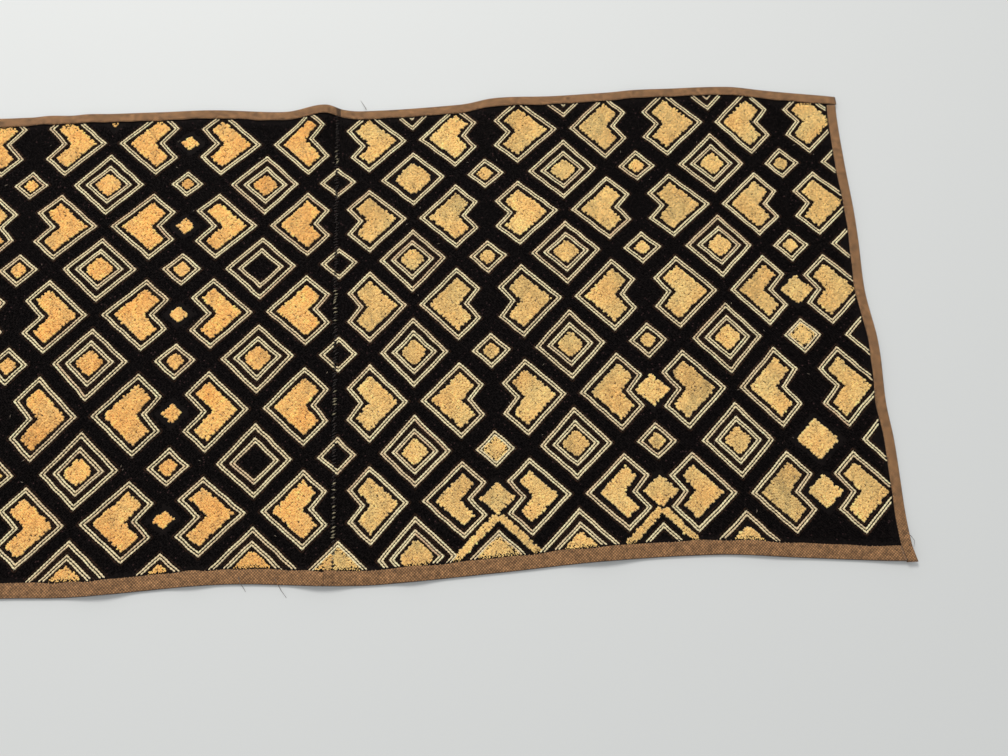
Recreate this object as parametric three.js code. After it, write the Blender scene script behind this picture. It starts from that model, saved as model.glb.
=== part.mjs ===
// A kuba raffia cloth that lies flat: two embroidered raffia panels, sewn side by side at a seam down the middle,
// with folded strips of plain raffia sewn round the edge. Lengths are in millimetres, +Z is up, +X runs along the
// cloth's length, and the cloth lies on the plane z = 0.
import * as THREE from "three";

// Driving sizes of the cloth
const SEAM_GAP = 0.3; // between the two panels at the seam
const GROUND_THICKNESS = 1.2; // a panel's woven raffia, where a strip covers it
const PILE_THICKNESS = 2.6; // a panel's woven raffia with its cut pile

// Driving sizes of the folded strips
const STRIP_THICKNESS = 0.9; // one layer of the strip
const CLEARANCE = 0.3; // between a strip and what it wraps or meets
const TOP_STRIP_WIDTH = 11;
const BOTTOM_STRIP_WIDTH = 14.5;
const SIDE_STRIP_WIDTH = 11;
const TOP_STRIP_JOINT = 4.5; // where the two top strips meet, right of the seam
const BOTTOM_STRIP_JOINT = -8; // where the two bottom strips meet, left of the seam

// Heights inside a folded strip
const EDGE_BOTTOM = STRIP_THICKNESS + CLEARANCE;
const EDGE_TOP = EDGE_BOTTOM + GROUND_THICKNESS;
const STRIP_TOP = EDGE_TOP + CLEARANCE + STRIP_THICKNESS;

// The panel's edge stops this far inside the cloth's own edge, and its underside comes down to the floor
// over this distance past the strip's inner edge.
const PANEL_INSET = STRIP_THICKNESS + 2 * CLEARANCE;
const STEP_DOWN = 5;

// The outline of the cloth as it lies: each row is a place that the edge passes through.
const TOP_EDGE = [
  { along: -582, out: 256.0 },
  { along: -500, out: 262.5 },
  { along: -384, out: 261.8 },
  { along: -250, out: 263.9 },
  { along: -129, out: 263.6 },
  { along: -62, out: 259.6 },
  { along: -14, out: 263.4 },
  { along: 26, out: 257.4 },
  { along: 142, out: 262.2 },
  { along: 177, out: 268.0 },
  { along: 260, out: 270.2 },
  { along: 366, out: 274.4 },
  { along: 455, out: 275.4 },
  { along: 499, out: 268.9 },
  { along: 582, out: 256.4 },
];
const BOTTOM_EDGE = [
  { along: -582, out: -273.0 },
  { along: -480, out: -267.0 },
  { along: -321, out: -267.3 },
  { along: -250, out: -269.5 },
  { along: -110, out: -264.4 },
  { along: -3, out: -270.9 },
  { along: 45, out: -272.0 },
  { along: 164, out: -266.3 },
  { along: 264, out: -260.5 },
  { along: 384, out: -259.4 },
  { along: 464, out: -266.2 },
  { along: 544, out: -272.9 },
  { along: 582, out: -275.4 },
];
const RIGHT_EDGE = [
  { along: -276, out: 580.5 },
  { along: -255, out: 577.0 },
  { along: -152, out: 579.5 },
  { along: -109, out: 577.8 },
  { along: -40, out: 580.9 },
  { along: 15, out: 577.2 },
  { along: 75, out: 579.9 },
  { along: 228, out: 580.5 },
  { along: 256, out: 582.0 },
];
const LEFT_EDGE = [
  { along: -274, out: -581.5 },
  { along: -200, out: -578.5 },
  { along: -90, out: -580.8 },
  { along: 30, out: -577.5 },
  { along: 140, out: -580.4 },
  { along: 256, out: -582.0 },
];

// Where the cloth rises from the floor, and by how much. Each rise is a rounded hump with its own reach
// to the left, to the right, up and down of its crest.
const RISES = [
  { name: "pucker at the seam's top", x: -11, y: 268, left: 48, right: 20, down: 70, up: 40, rise: 7.5 },
  { name: "top, left end", x: -420, y: 264, left: 60, right: 50, down: 40, up: 30, rise: 2.0 },
  { name: "top, first wave", x: -326, y: 264, left: 20, right: 26, down: 32, up: 30, rise: 2.6 },
  { name: "top, second wave", x: -283, y: 264, left: 18, right: 30, down: 30, up: 30, rise: 2.2 },
  { name: "top, third wave", x: -150, y: 264, left: 50, right: 44, down: 40, up: 30, rise: 1.6 },
  { name: "top, right of the seam", x: 190, y: 269, left: 36, right: 60, down: 45, up: 30, rise: 2.4 },
  { name: "top, right panel", x: 345, y: 274, left: 30, right: 60, down: 40, up: 30, rise: 2.0 },
  { name: "top right corner", x: 582, y: 256, left: 70, right: 30, down: 60, up: 40, rise: 1.5 },
  { name: "bottom, far left", x: -430, y: -268, left: 60, right: 60, down: 40, up: 40, rise: 3.2 },
  { name: "bottom, left panel", x: -222, y: -269, left: 44, right: 36, down: 40, up: 46, rise: 5.0 },
  { name: "bottom, short wave", x: -138, y: -266, left: 28, right: 30, down: 40, up: 36, rise: 3.6 },
  { name: "bottom, at the seam", x: -12, y: -271, left: 36, right: 40, down: 40, up: 50, rise: 5.5 },
  { name: "bottom, right of the seam", x: 78, y: -270, left: 28, right: 34, down: 40, up: 36, rise: 3.6 },
  { name: "bottom, right panel", x: 268, y: -261, left: 46, right: 48, down: 40, up: 46, rise: 5.0 },
  { name: "bottom, last wave", x: 430, y: -264, left: 50, right: 50, down: 40, up: 36, rise: 2.2 },
  { name: "bottom right corner", x: 578, y: -275, left: 60, right: 30, down: 40, up: 60, rise: 3.0 },
  { name: "right edge, upper wave", x: 580, y: 110, left: 40, right: 30, down: 60, up: 60, rise: 1.8 },
  { name: "right edge, lower wave", x: 579, y: -70, left: 44, right: 30, down: 70, up: 60, rise: 2.4 },
  { name: "left edge, wave", x: -580, y: 20, left: 30, right: 44, down: 90, up: 80, rise: 2.2 },
  { name: "swell in the left panel", x: -300, y: 70, left: 120, right: 110, down: 110, up: 100, rise: 2.2 },
  { name: "swell beside the seam", x: -60, y: -90, left: 90, right: 50, down: 90, up: 110, rise: 1.8 },
  { name: "swell in the right panel", x: 400, y: 60, left: 120, right: 90, down: 120, up: 90, rise: 2.0 },
];

// A panel's grid is laid out on a plain rectangle of these sizes, then fitted to the true outline.
const HALF_LENGTH = 580;
const HALF_WIDTH = 267;
const FITTING_PASSES = 4;

// Places of the grid lines near the seam, and the spacing of the lines elsewhere
const LINES_BY_SEAM = [SEAM_GAP / 2, TOP_STRIP_JOINT, -BOTTOM_STRIP_JOINT, 14, 21, 30, 42];
const LINE_SPACING_ALONG = 27;
const LINE_SPACING_ACROSS = 30;

const COLOURS = { panel: "#4a3320", strip: "#8a5f3c" };

// A smooth curve through a table's rows, with the slope at each row taken from its two neighbours.
function edgeAt(rows, along) {
  const last = rows.length - 1;
  let i = 0;
  while (i < last - 1 && along > rows[i + 1].along) i += 1;
  const slope = (k) => {
    const before = rows[Math.max(k - 1, 0)];
    const after = rows[Math.min(k + 1, last)];
    return (after.out - before.out) / (after.along - before.along);
  };
  const [from, to] = [rows[i], rows[i + 1]];
  const span = to.along - from.along;
  const t = THREE.MathUtils.clamp((along - from.along) / span, 0, 1);
  const ease = t * t * (3 - 2 * t);
  const bend = t * (1 - t) * ((1 - t) * slope(i) - t * slope(i + 1)) * span;
  return from.out + (to.out - from.out) * ease + bend;
}

// A rounded hump of height 1 that fades to 0 at its reach on each side of the crest.
function hump(distance, reachBefore, reachAfter) {
  const share = Math.min(Math.abs(distance) / (distance < 0 ? reachBefore : reachAfter), 1);
  return Math.cos((Math.PI / 2) * share) ** 2;
}

// The height of the cloth's underside above the floor. A strip lies level across its width, so the height
// anywhere under it is the height at its inner edge.
function riseAt(x, y) {
  const { clamp } = THREE.MathUtils;
  const side = SIDE_STRIP_WIDTH + CLEARANCE;
  const low = edgeAt(BOTTOM_EDGE, x) + BOTTOM_STRIP_WIDTH + CLEARANCE;
  const high = edgeAt(TOP_EDGE, x) - TOP_STRIP_WIDTH - CLEARANCE;
  const heldX = clamp(x, edgeAt(LEFT_EDGE, y) + side, edgeAt(RIGHT_EDGE, y) - side);
  const heldY = clamp(y, low, high);
  return RISES.reduce((sum, row) => {
    const along = hump(heldX - row.x, row.left, row.right);
    return sum + row.rise * along * hump(heldY - row.y, row.down, row.up);
  }, 0);
}

// Distances from a start to an end, as near to evenly spaced as fits.
function spread(start, end, spacing) {
  const count = Math.max(Math.round((end - start) / spacing), 1);
  return Array.from({ length: count + 1 }, (_, i) => start + ((end - start) * i) / count);
}

// The grid lines next to a strip, as distances in from the cloth's edge: the panel's edge under the strip,
// the strip's inner edge, and where the panel's underside has come down.
function linesByStrip(width) {
  return [PANEL_INSET, width + CLEARANCE, width + STEP_DOWN];
}

function geometryFrom(positions, index) {
  const geometry = new THREE.BufferGeometry();
  geometry.setAttribute("position", new THREE.Float32BufferAttribute(positions, 3));
  geometry.setIndex(index);
  geometry.computeVertexNormals();
  return geometry;
}

// One panel is a grid of columns (counted out from the seam) and rows (counted up from the bottom edge).
// side is 1 for the right panel and -1 for the left one.
function panelGrid(side) {
  const sideEdge = side > 0 ? RIGHT_EDGE : LEFT_EDGE;
  const bySide = linesByStrip(SIDE_STRIP_WIDTH);
  const fromSeam = LINES_BY_SEAM[LINES_BY_SEAM.length - 1];
  const columns = [
    ...LINES_BY_SEAM.slice(0, -1),
    ...spread(fromSeam, HALF_LENGTH - bySide[2], LINE_SPACING_ALONG),
    ...[bySide[1], bySide[0]].map((inside) => HALF_LENGTH - inside),
  ];
  const byBottom = linesByStrip(BOTTOM_STRIP_WIDTH);
  const byTop = linesByStrip(TOP_STRIP_WIDTH);
  const rows = [
    ...byBottom.slice(0, -1).map((inside) => inside - HALF_WIDTH),
    ...spread(byBottom[2] - HALF_WIDTH, HALF_WIDTH - byTop[2], LINE_SPACING_ACROSS),
    ...[byTop[1], byTop[0]].map((inside) => HALF_WIDTH - inside),
  ];
  // Near a strip, a line keeps its distance from the cloth's true edge, and the lines between share the rest.
  const fit = (value, low, high, trueLow, trueHigh) => {
    if (value <= low) return value + trueLow - low;
    if (value >= high) return value + trueHigh - high;
    return THREE.MathUtils.mapLinear(value, low, high, trueLow, trueHigh);
  };
  const place = (column, row) => {
    let [x, y] = [side * column, row];
    for (let pass = 0; pass < FITTING_PASSES; pass += 1) {
      const outer = Math.abs(edgeAt(sideEdge, y)) - bySide[2];
      x = side * fit(column, fromSeam, HALF_LENGTH - bySide[2], fromSeam, outer);
      const low = edgeAt(BOTTOM_EDGE, x) + byBottom[2];
      const high = edgeAt(TOP_EDGE, x) - byTop[2];
      y = fit(row, byBottom[2] - HALF_WIDTH, HALF_WIDTH - byTop[2], low, high);
    }
    // How far past the nearest strip's inner edge the point is, and so how much of the full thickness it has.
    const past = Math.min(
      HALF_LENGTH - column - SIDE_STRIP_WIDTH,
      row + HALF_WIDTH - BOTTOM_STRIP_WIDTH,
      HALF_WIDTH - row - TOP_STRIP_WIDTH,
    );
    const share = (past - CLEARANCE) / (STEP_DOWN - CLEARANCE);
    const field = THREE.MathUtils.clamp(share, 0, 1);
    const rise = riseAt(x, y);
    return {
      x,
      y,
      bottom: rise + EDGE_BOTTOM * (1 - field),
      top: rise + THREE.MathUtils.lerp(EDGE_TOP, PILE_THICKNESS, field),
    };
  };
  return columns.map((column) => rows.map((row) => place(column, row)));
}

// A panel's solid: its grid's top and underside, closed round the rim.
function panelGeometry(grid, side) {
  const [across, up] = [grid.length, grid[0].length];
  const positions = [];
  const points = grid.flat();
  points.forEach((p) => positions.push(p.x, p.y, p.top));
  points.forEach((p) => positions.push(p.x, p.y, p.bottom));
  const under = across * up;
  const index = [];
  const quad = (a, b, c, d) => (side > 0 ? index.push(a, b, c, a, c, d) : index.push(a, c, b, a, d, c));
  const at = (i, j) => i * up + j;
  for (let i = 0; i + 1 < across; i += 1) {
    for (let j = 0; j + 1 < up; j += 1) {
      quad(at(i, j), at(i + 1, j), at(i + 1, j + 1), at(i, j + 1));
      quad(under + at(i, j), under + at(i, j + 1), under + at(i + 1, j + 1), under + at(i + 1, j));
    }
  }
  const rim = [
    ...Array.from({ length: across - 1 }, (_, i) => at(i, 0)),
    ...Array.from({ length: up - 1 }, (_, j) => at(across - 1, j)),
    ...Array.from({ length: across - 1 }, (_, i) => at(across - 1 - i, up - 1)),
    ...Array.from({ length: up - 1 }, (_, j) => at(0, up - 1 - j)),
  ];
  rim.forEach((a, k) => {
    const b = rim[(k + 1) % rim.length];
    quad(a, under + a, under + b, b);
  });
  return geometryFrom(positions, index);
}

// A folded strip's section: how far each corner is inside the cloth's edge, and how high above its underside.
function stripSection(width) {
  const inner = STRIP_THICKNESS + CLEARANCE / 2;
  return [
    { inside: width, up: 0 },
    { inside: STRIP_THICKNESS, up: 0 },
    { inside: 0, up: STRIP_THICKNESS },
    { inside: 0, up: STRIP_TOP - STRIP_THICKNESS },
    { inside: STRIP_THICKNESS, up: STRIP_TOP },
    { inside: width, up: STRIP_TOP },
    { inside: width, up: STRIP_TOP - STRIP_THICKNESS },
    { inside: inner, up: STRIP_TOP - STRIP_THICKNESS },
    { inside: inner, up: STRIP_THICKNESS },
    { inside: width, up: STRIP_THICKNESS },
  ];
}

// The section cut into triangles, which close a strip's two ends. They turn the same way as the section's corners.
const SECTION_FACES = [
  [0, 1, 8],
  [0, 8, 9],
  [1, 2, 8],
  [2, 3, 7],
  [2, 7, 8],
  [3, 4, 7],
  [4, 5, 6],
  [4, 6, 7],
];

// A strip's solid: its section carried along the edge from station to station, with the two ends closed.
// toPoint turns a station and a section corner into a point, and flip turns the faces of a strip whose section
// would otherwise point inwards.
function stripGeometry(stations, section, toPoint, flip) {
  const size = section.length;
  const positions = stations.flatMap((station) => section.flatMap((corner) => toPoint(station, corner)));
  const index = [];
  const triangle = (a, b, c) => (flip ? index.push(a, c, b) : index.push(a, b, c));
  for (let ring = 0; ring + 1 < stations.length; ring += 1) {
    for (let corner = 0; corner < size; corner += 1) {
      const a = ring * size + corner;
      const b = ring * size + ((corner + 1) % size);
      triangle(a, b, a + size);
      triangle(b, b + size, a + size);
    }
  }
  const lastRing = (stations.length - 1) * size;
  for (const [a, b, c] of SECTION_FACES) {
    triangle(a, c, b);
    triangle(lastRing + a, lastRing + b, lastRing + c);
  }
  return geometryFrom(positions, index);
}

// The stations of a strip between two ends: the panel's own grid lines in between, so the two bend alike.
function stationsBetween(start, end, lines) {
  const inside = lines.filter((value) => value > start + 1 && value < end - 1).sort((a, b) => a - b);
  return [start, ...inside, end];
}

const grids = { left: panelGrid(-1), right: panelGrid(1) };
const topLines = [...grids.left, ...grids.right].map((column) => column[column.length - 1].x);
const bottomLines = [...grids.left, ...grids.right].map((column) => column[0].x);
const sideLines = (grid) => grid[grid.length - 1].map((p) => p.y);

const alongEdge = (edge, sign) => (x, corner) => {
  const y = edgeAt(edge, x) - sign * corner.inside;
  return [x, y, riseAt(x, y) + corner.up];
};
const acrossEdge = (edge, sign) => (y, corner) => {
  const x = edgeAt(edge, y) - sign * corner.inside;
  return [x, y, riseAt(x, y) + corner.up];
};

// The side strips start under the top strips and run down over the bottom corners.
const topRight = RIGHT_EDGE[RIGHT_EDGE.length - 1].out;
const topLeft = LEFT_EDGE[LEFT_EDGE.length - 1].out;
const rightTop = edgeAt(TOP_EDGE, topRight) - TOP_STRIP_WIDTH - CLEARANCE;
const leftTop = edgeAt(TOP_EDGE, topLeft) - TOP_STRIP_WIDTH - CLEARANCE;
const rightBottom = BOTTOM_EDGE[BOTTOM_EDGE.length - 1].out;
const leftBottom = BOTTOM_EDGE[0].out;
const bottomRight = RIGHT_EDGE[1].out - SIDE_STRIP_WIDTH - 2 * CLEARANCE;
const bottomLeft = LEFT_EDGE[0].out + SIDE_STRIP_WIDTH + 4 * CLEARANCE;

const STRIPS = [
  {
    name: "binding_top_left",
    width: TOP_STRIP_WIDTH,
    stations: stationsBetween(topLeft, TOP_STRIP_JOINT - CLEARANCE, topLines),
    toPoint: alongEdge(TOP_EDGE, 1),
    flip: false,
  },
  {
    name: "binding_top_right",
    width: TOP_STRIP_WIDTH,
    stations: stationsBetween(TOP_STRIP_JOINT, topRight, topLines),
    toPoint: alongEdge(TOP_EDGE, 1),
    flip: false,
  },
  {
    name: "binding_bottom_left",
    width: BOTTOM_STRIP_WIDTH,
    stations: stationsBetween(bottomLeft, BOTTOM_STRIP_JOINT - CLEARANCE, bottomLines),
    toPoint: alongEdge(BOTTOM_EDGE, -1),
    flip: true,
  },
  {
    name: "binding_bottom_right",
    width: BOTTOM_STRIP_WIDTH,
    stations: stationsBetween(BOTTOM_STRIP_JOINT, bottomRight, bottomLines),
    toPoint: alongEdge(BOTTOM_EDGE, -1),
    flip: true,
  },
  {
    name: "binding_right",
    width: SIDE_STRIP_WIDTH,
    stations: stationsBetween(rightBottom, rightTop, sideLines(grids.right)),
    toPoint: acrossEdge(RIGHT_EDGE, 1),
    flip: true,
  },
  {
    name: "binding_left",
    width: SIDE_STRIP_WIDTH,
    stations: stationsBetween(leftBottom, leftTop, sideLines(grids.left)),
    toPoint: acrossEdge(LEFT_EDGE, -1),
    flip: false,
  },
];

const cloth = new THREE.Group();
cloth.name = "kuba_raffia_cloth";

function add(name, geometry, color) {
  const material = new THREE.MeshStandardMaterial({ color, roughness: 0.9, metalness: 0 });
  const mesh = new THREE.Mesh(geometry, material);
  mesh.name = name;
  cloth.add(mesh);
}

add("panel_left", panelGeometry(grids.left, -1), COLOURS.panel);
add("panel_right", panelGeometry(grids.right, 1), COLOURS.panel);
for (const { name, width, stations, toPoint, flip } of STRIPS) {
  add(name, stripGeometry(stations, stripSection(width), toPoint, flip), COLOURS.strip);
}

export default cloth;
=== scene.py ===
# %% [markdown]
# This lesson dresses a kuba raffia cloth: two raffia panels, sewn side by side and embroidered with cut
# pile and stitched lines, with a folded raffia strip round the edge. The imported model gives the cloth's
# solids, and every piece below lies on them, in metres, so nothing is fitted afterwards.

# %% Load the frame
import math

import bpy
import numpy as np
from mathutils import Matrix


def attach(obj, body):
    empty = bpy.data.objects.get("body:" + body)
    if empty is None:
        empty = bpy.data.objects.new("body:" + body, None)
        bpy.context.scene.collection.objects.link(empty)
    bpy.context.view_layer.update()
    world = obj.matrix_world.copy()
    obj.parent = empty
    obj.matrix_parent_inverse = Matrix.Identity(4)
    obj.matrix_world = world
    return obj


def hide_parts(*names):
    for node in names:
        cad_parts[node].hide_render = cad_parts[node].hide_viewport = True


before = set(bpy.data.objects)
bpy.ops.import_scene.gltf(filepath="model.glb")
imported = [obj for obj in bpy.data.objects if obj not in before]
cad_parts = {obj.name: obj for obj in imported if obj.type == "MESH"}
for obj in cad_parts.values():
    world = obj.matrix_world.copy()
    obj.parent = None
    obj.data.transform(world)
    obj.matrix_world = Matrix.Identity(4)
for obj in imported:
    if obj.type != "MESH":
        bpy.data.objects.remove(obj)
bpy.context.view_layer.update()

MM = 0.001
random = np.random.default_rng(84)
print("nodes", sorted(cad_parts))

# %% [markdown]
# The camera comes first. It stands a little above the cloth's lower edge and looks down, tilted slightly
# towards the upper edge, as the picture was taken. One degree of roll makes the cloth climb to the right.

# %% Camera
CAMERA_PLACE = (152.1 * MM, -271.2 * MM, 771.9 * MM)
CAMERA_TURN = (14.85, -1.13, -2.77)
LENS_MM = 27.04

camera_data = bpy.data.cameras.new("camera")
camera_data.sensor_width = 36
camera_data.lens = LENS_MM
camera = bpy.data.objects.new("camera", camera_data)
camera.location = CAMERA_PLACE
camera.rotation_euler = [math.radians(turn) for turn in CAMERA_TURN]
bpy.context.scene.collection.objects.link(camera)
bpy.context.scene.camera = camera
bpy.context.scene.view_settings.view_transform = "Standard"

# %% [markdown]
# A cloth that lies on a table is never a true rectangle. Its edge is kept as a short table for each side:
# the places that the edge passes through, joined by a smooth curve. A second table lists where the cloth
# rises from the floor, each rise a rounded hump. Together they give any point's place on the cloth.

# %% Outline and rises
def columns(names, *rows):
    """A table with named columns, turned into one array for each column, in metres."""
    return dict(zip(names.split(), np.array(rows, float).T * MM))


TOP_EDGE = columns(
    "along out",
    (-582, 256.0), (-500, 262.5), (-384, 261.8), (-250, 263.9), (-129, 263.6), (-62, 259.6), (-14, 263.4),
    (26, 257.4), (142, 262.2), (177, 268.0), (260, 270.2), (366, 274.4), (455, 275.4),
    (499, 268.9), (582, 256.4),
)
BOTTOM_EDGE = columns(
    "along out",
    (-582, -273.0), (-480, -267.0), (-321, -267.3), (-250, -269.5), (-110, -264.4), (-3, -270.9),
    (45, -272.0), (164, -266.3), (264, -260.5), (384, -259.4), (464, -266.2), (544, -272.9), (582, -275.4),
)
RIGHT_EDGE = columns(
    "along out",
    (-276, 580.5), (-255, 577.0), (-152, 579.5), (-109, 577.8), (-40, 580.9), (15, 577.2), (75, 579.9),
    (228, 580.5), (256, 582.0),
)
LEFT_EDGE = columns(
    "along out",
    (-274, -581.5), (-200, -578.5), (-90, -580.8), (30, -577.5), (140, -580.4), (256, -582.0),
)
RISES = columns(
    "x y left right down up rise",
    (-11, 268, 48, 20, 70, 40, 7.5),  # the pucker at the top of the seam
    (-420, 264, 60, 50, 40, 30, 2.0),
    (-326, 264, 20, 26, 32, 30, 2.6),
    (-283, 264, 18, 30, 30, 30, 2.2),
    (-150, 264, 50, 44, 40, 30, 1.6),
    (190, 269, 36, 60, 45, 30, 2.4),
    (345, 274, 30, 60, 40, 30, 2.0),
    (582, 256, 70, 30, 60, 40, 1.5),  # the top right corner
    (-430, -268, 60, 60, 40, 40, 3.2),
    (-222, -269, 44, 36, 40, 46, 5.0),
    (-138, -266, 28, 30, 40, 36, 3.6),
    (-12, -271, 36, 40, 40, 50, 5.5),
    (78, -270, 28, 34, 40, 36, 3.6),
    (268, -261, 46, 48, 40, 46, 5.0),
    (430, -264, 50, 50, 40, 36, 2.2),
    (578, -275, 60, 30, 40, 60, 3.0),  # the bottom right corner
    (580, 110, 40, 30, 60, 60, 1.8),
    (579, -70, 44, 30, 70, 60, 2.4),
    (-580, 20, 30, 44, 90, 80, 2.2),
    (-300, 70, 120, 110, 110, 100, 2.2),  # low swells in the field
    (-60, -90, 90, 50, 90, 110, 1.8),
    (400, 60, 120, 90, 120, 90, 2.0),
)

TOP_STRIP_WIDTH = 11 * MM
BOTTOM_STRIP_WIDTH = 14.5 * MM
SIDE_STRIP_WIDTH = 11 * MM
STRIP_THICKNESS = 0.9 * MM
CLEARANCE = 0.3 * MM
GROUND_THICKNESS = 1.2 * MM
STEP_DOWN = 5 * MM
SEAM_GAP = 0.3 * MM
TOP_STRIP_JOINT = 4.5 * MM
BOTTOM_STRIP_JOINT = -8 * MM
EDGE_BOTTOM = STRIP_THICKNESS + CLEARANCE
STRIP_TOP = EDGE_BOTTOM + GROUND_THICKNESS + CLEARANCE + STRIP_THICKNESS


def edge_at(edge, along):
    """How far out an edge lies at distances along it.

    Between two rows, t runs from 0 to 1. The edge is the first row plus the difference times t*t*(3-2t),
    plus a bend that gives each row the slope between its two neighbours.
    """
    at, out = edge["along"], edge["out"]
    slope = np.gradient(out, at)
    slope[1:-1] = (out[2:] - out[:-2]) / (at[2:] - at[:-2])
    i = np.clip(np.searchsorted(at, along) - 1, 0, len(at) - 2)
    span = at[i + 1] - at[i]
    t = np.clip((along - at[i]) / span, 0, 1)
    ease = t * t * (3 - 2 * t)
    bend = t * (1 - t) * ((1 - t) * slope[i] - t * slope[i + 1]) * span
    return out[i] + (out[i + 1] - out[i]) * ease + bend


def hump(distance, before, after):
    """A rounded hump: cos squared of a quarter turn times distance over reach, and 0 past the reach."""
    reach = np.where(distance < 0, before, after)
    return np.cos(np.pi / 2 * np.minimum(np.abs(distance) / reach, 1)) ** 2


def rise_at(x, y):
    """How high the underside is above the floor: the sum of the humps, held level under the strips."""
    side = SIDE_STRIP_WIDTH + CLEARANCE
    low = edge_at(BOTTOM_EDGE, x) + BOTTOM_STRIP_WIDTH + CLEARANCE
    high = edge_at(TOP_EDGE, x) - TOP_STRIP_WIDTH - CLEARANCE
    held_x = np.clip(x, edge_at(LEFT_EDGE, y) + side, edge_at(RIGHT_EDGE, y) - side)
    held_y = np.clip(y, low, high)
    total = np.zeros(np.broadcast(x, y).shape)
    for k in range(len(RISES["x"])):
        row = {name: column[k] for name, column in RISES.items()}
        along = hump(held_x - row["x"], row["left"], row["right"])
        total += row["rise"] * along * hump(held_y - row["y"], row["down"], row["up"])
    return total


def past_strip(x, y):
    """How far a point is inside the nearest strip's inner edge, and negative under the strip."""
    return np.minimum.reduce([
        x - edge_at(LEFT_EDGE, y) - SIDE_STRIP_WIDTH,
        edge_at(RIGHT_EDGE, y) - SIDE_STRIP_WIDTH - x,
        y - edge_at(BOTTOM_EDGE, x) - BOTTOM_STRIP_WIDTH,
        edge_at(TOP_EDGE, x) - TOP_STRIP_WIDTH - y,
    ])


print("rise at the pucker, mm:", round(float(rise_at(np.array(-11 * MM), np.array(255 * MM))) / MM, 2))

# %% [markdown]
# The floor is plain and pale, and the light is plain too: a wide soft lamp high up beyond the cloth's upper
# edge, and an even glow all round. The lamp makes the short soft shadows under the lower edge, where the
# cloth lifts.

# %% Floor and light
FLOOR_SIZE = 6.0
FLOOR_DROP = 0.15 * MM  # keeps the floor from sharing a plane with the cloth's underside
FLOOR_COLOUR = (0.69, 0.70, 0.69, 1)
GLOW_COLOUR = (0.97, 0.985, 1.0, 1)
GLOW_STRENGTH = 0.62
LAMP_PLACE = (-0.5, 1.5, 2.2)
LAMP_SIZE = 0.9
LAMP_POWER = 42

corners = np.array([(-1, -1, 0), (1, -1, 0), (1, 1, 0), (-1, 1, 0)]) * FLOOR_SIZE / 2 - (0, 0, FLOOR_DROP)
floor_mesh = bpy.data.meshes.new("floor")
floor_mesh.from_pydata(corners.tolist(), [], [(0, 1, 2, 3)])
floor = bpy.data.objects.new("floor", floor_mesh)
bpy.context.scene.collection.objects.link(floor)

lamp_data = bpy.data.lights.new("lamp", "AREA")
lamp_data.size = LAMP_SIZE
lamp_data.energy = LAMP_POWER
lamp_data.color = (1.0, 0.985, 0.96)
lamp = bpy.data.objects.new("lamp", lamp_data)
lamp.location = LAMP_PLACE
aim = -np.array(LAMP_PLACE)
lamp.rotation_euler = (math.atan2(math.hypot(aim[0], aim[1]), -aim[2]), 0, math.atan2(-aim[0], aim[1]))
bpy.context.scene.collection.objects.link(lamp)

world = bpy.data.worlds.new("world")
bpy.context.scene.world = world
world.use_nodes = True
world.node_tree.nodes["Background"].inputs["Color"].default_value = GLOW_COLOUR
world.node_tree.nodes["Background"].inputs["Strength"].default_value = GLOW_STRENGTH

# %% [markdown]
# Every finish here is fibre. Each pile and stitch piece stores a colour for each of its tufts in an
# attribute named tint, and the material multiplies it by a fine grain, so that no two strands look alike. A
# small helper adds nodes.

# %% Helpers for materials
def add_node(tree, kind, inputs=(), **settings):
    """A new node of a kind, with its settings, and its inputs given as values or as sockets to link."""
    node = tree.nodes.new(kind)
    for name, value in settings.items():
        setattr(node, name, value)
    for name, value in dict(inputs).items():
        if isinstance(value, bpy.types.NodeSocket):
            tree.links.new(value, node.inputs[name])
        else:
            node.inputs[name].default_value = value
    return node


def new_material(name, roughness, sheen=0.0):
    """An empty fibre material: its node tree and its shader, with what is even over it set on the shader."""
    material = bpy.data.materials.new(name)
    material.use_nodes = True
    shader = material.node_tree.nodes["Principled BSDF"]
    shader.inputs["Roughness"].default_value = roughness
    shader.inputs["Specular IOR Level"].default_value = 0.08 if sheen == 0 else 0.25
    shader.inputs["Sheen Weight"].default_value = sheen
    shader.inputs["Sheen Roughness"].default_value = 0.5
    return material, material.node_tree, shader


def stretch(tree, value, low, high):
    """A value from 0 to 1, stretched to run from low to high."""
    node = add_node(tree, "ShaderNodeMapRange", {"Value": value, "To Min": low, "To Max": high})
    return node.outputs["Result"]


def times(tree, colour, factor):
    """A colour multiplied by a grey factor."""
    mix = add_node(tree, "ShaderNodeVectorMath", {0: colour, 1: factor}, operation="MULTIPLY")
    return mix.outputs["Vector"]


def fibre_material(name, roughness, sheen, grain, depth, bump):
    """Fibre with its tint times a grain: a noise of so many waves a metre, from 1 - depth to 1 + depth."""
    material, tree, shader = new_material(name, roughness, sheen)
    place = add_node(tree, "ShaderNodeTexCoord").outputs["Object"]
    tint = add_node(tree, "ShaderNodeAttribute", attribute_name="tint").outputs["Color"]
    fine = add_node(tree, "ShaderNodeTexNoise", {"Vector": place, "Scale": grain, "Detail": 2.0})
    factor = stretch(tree, fine.outputs["Fac"], 1 - depth, 1 + depth)
    tree.links.new(times(tree, tint, factor), shader.inputs["Base Color"])
    height = add_node(tree, "ShaderNodeTexNoise", {"Vector": place, "Scale": grain * 2.5, "Detail": 1.0})
    relief = {"Height": height.outputs["Fac"], "Strength": bump, "Distance": 0.3 * MM}
    tree.links.new(add_node(tree, "ShaderNodeBump", relief).outputs["Normal"], shader.inputs["Normal"])
    return material


floor_material, floor_tree, floor_shader = new_material("floor_paint", 0.9)
floor_shader.inputs["Base Color"].default_value = FLOOR_COLOUR
floor_mesh.materials.append(floor_material)

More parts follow.
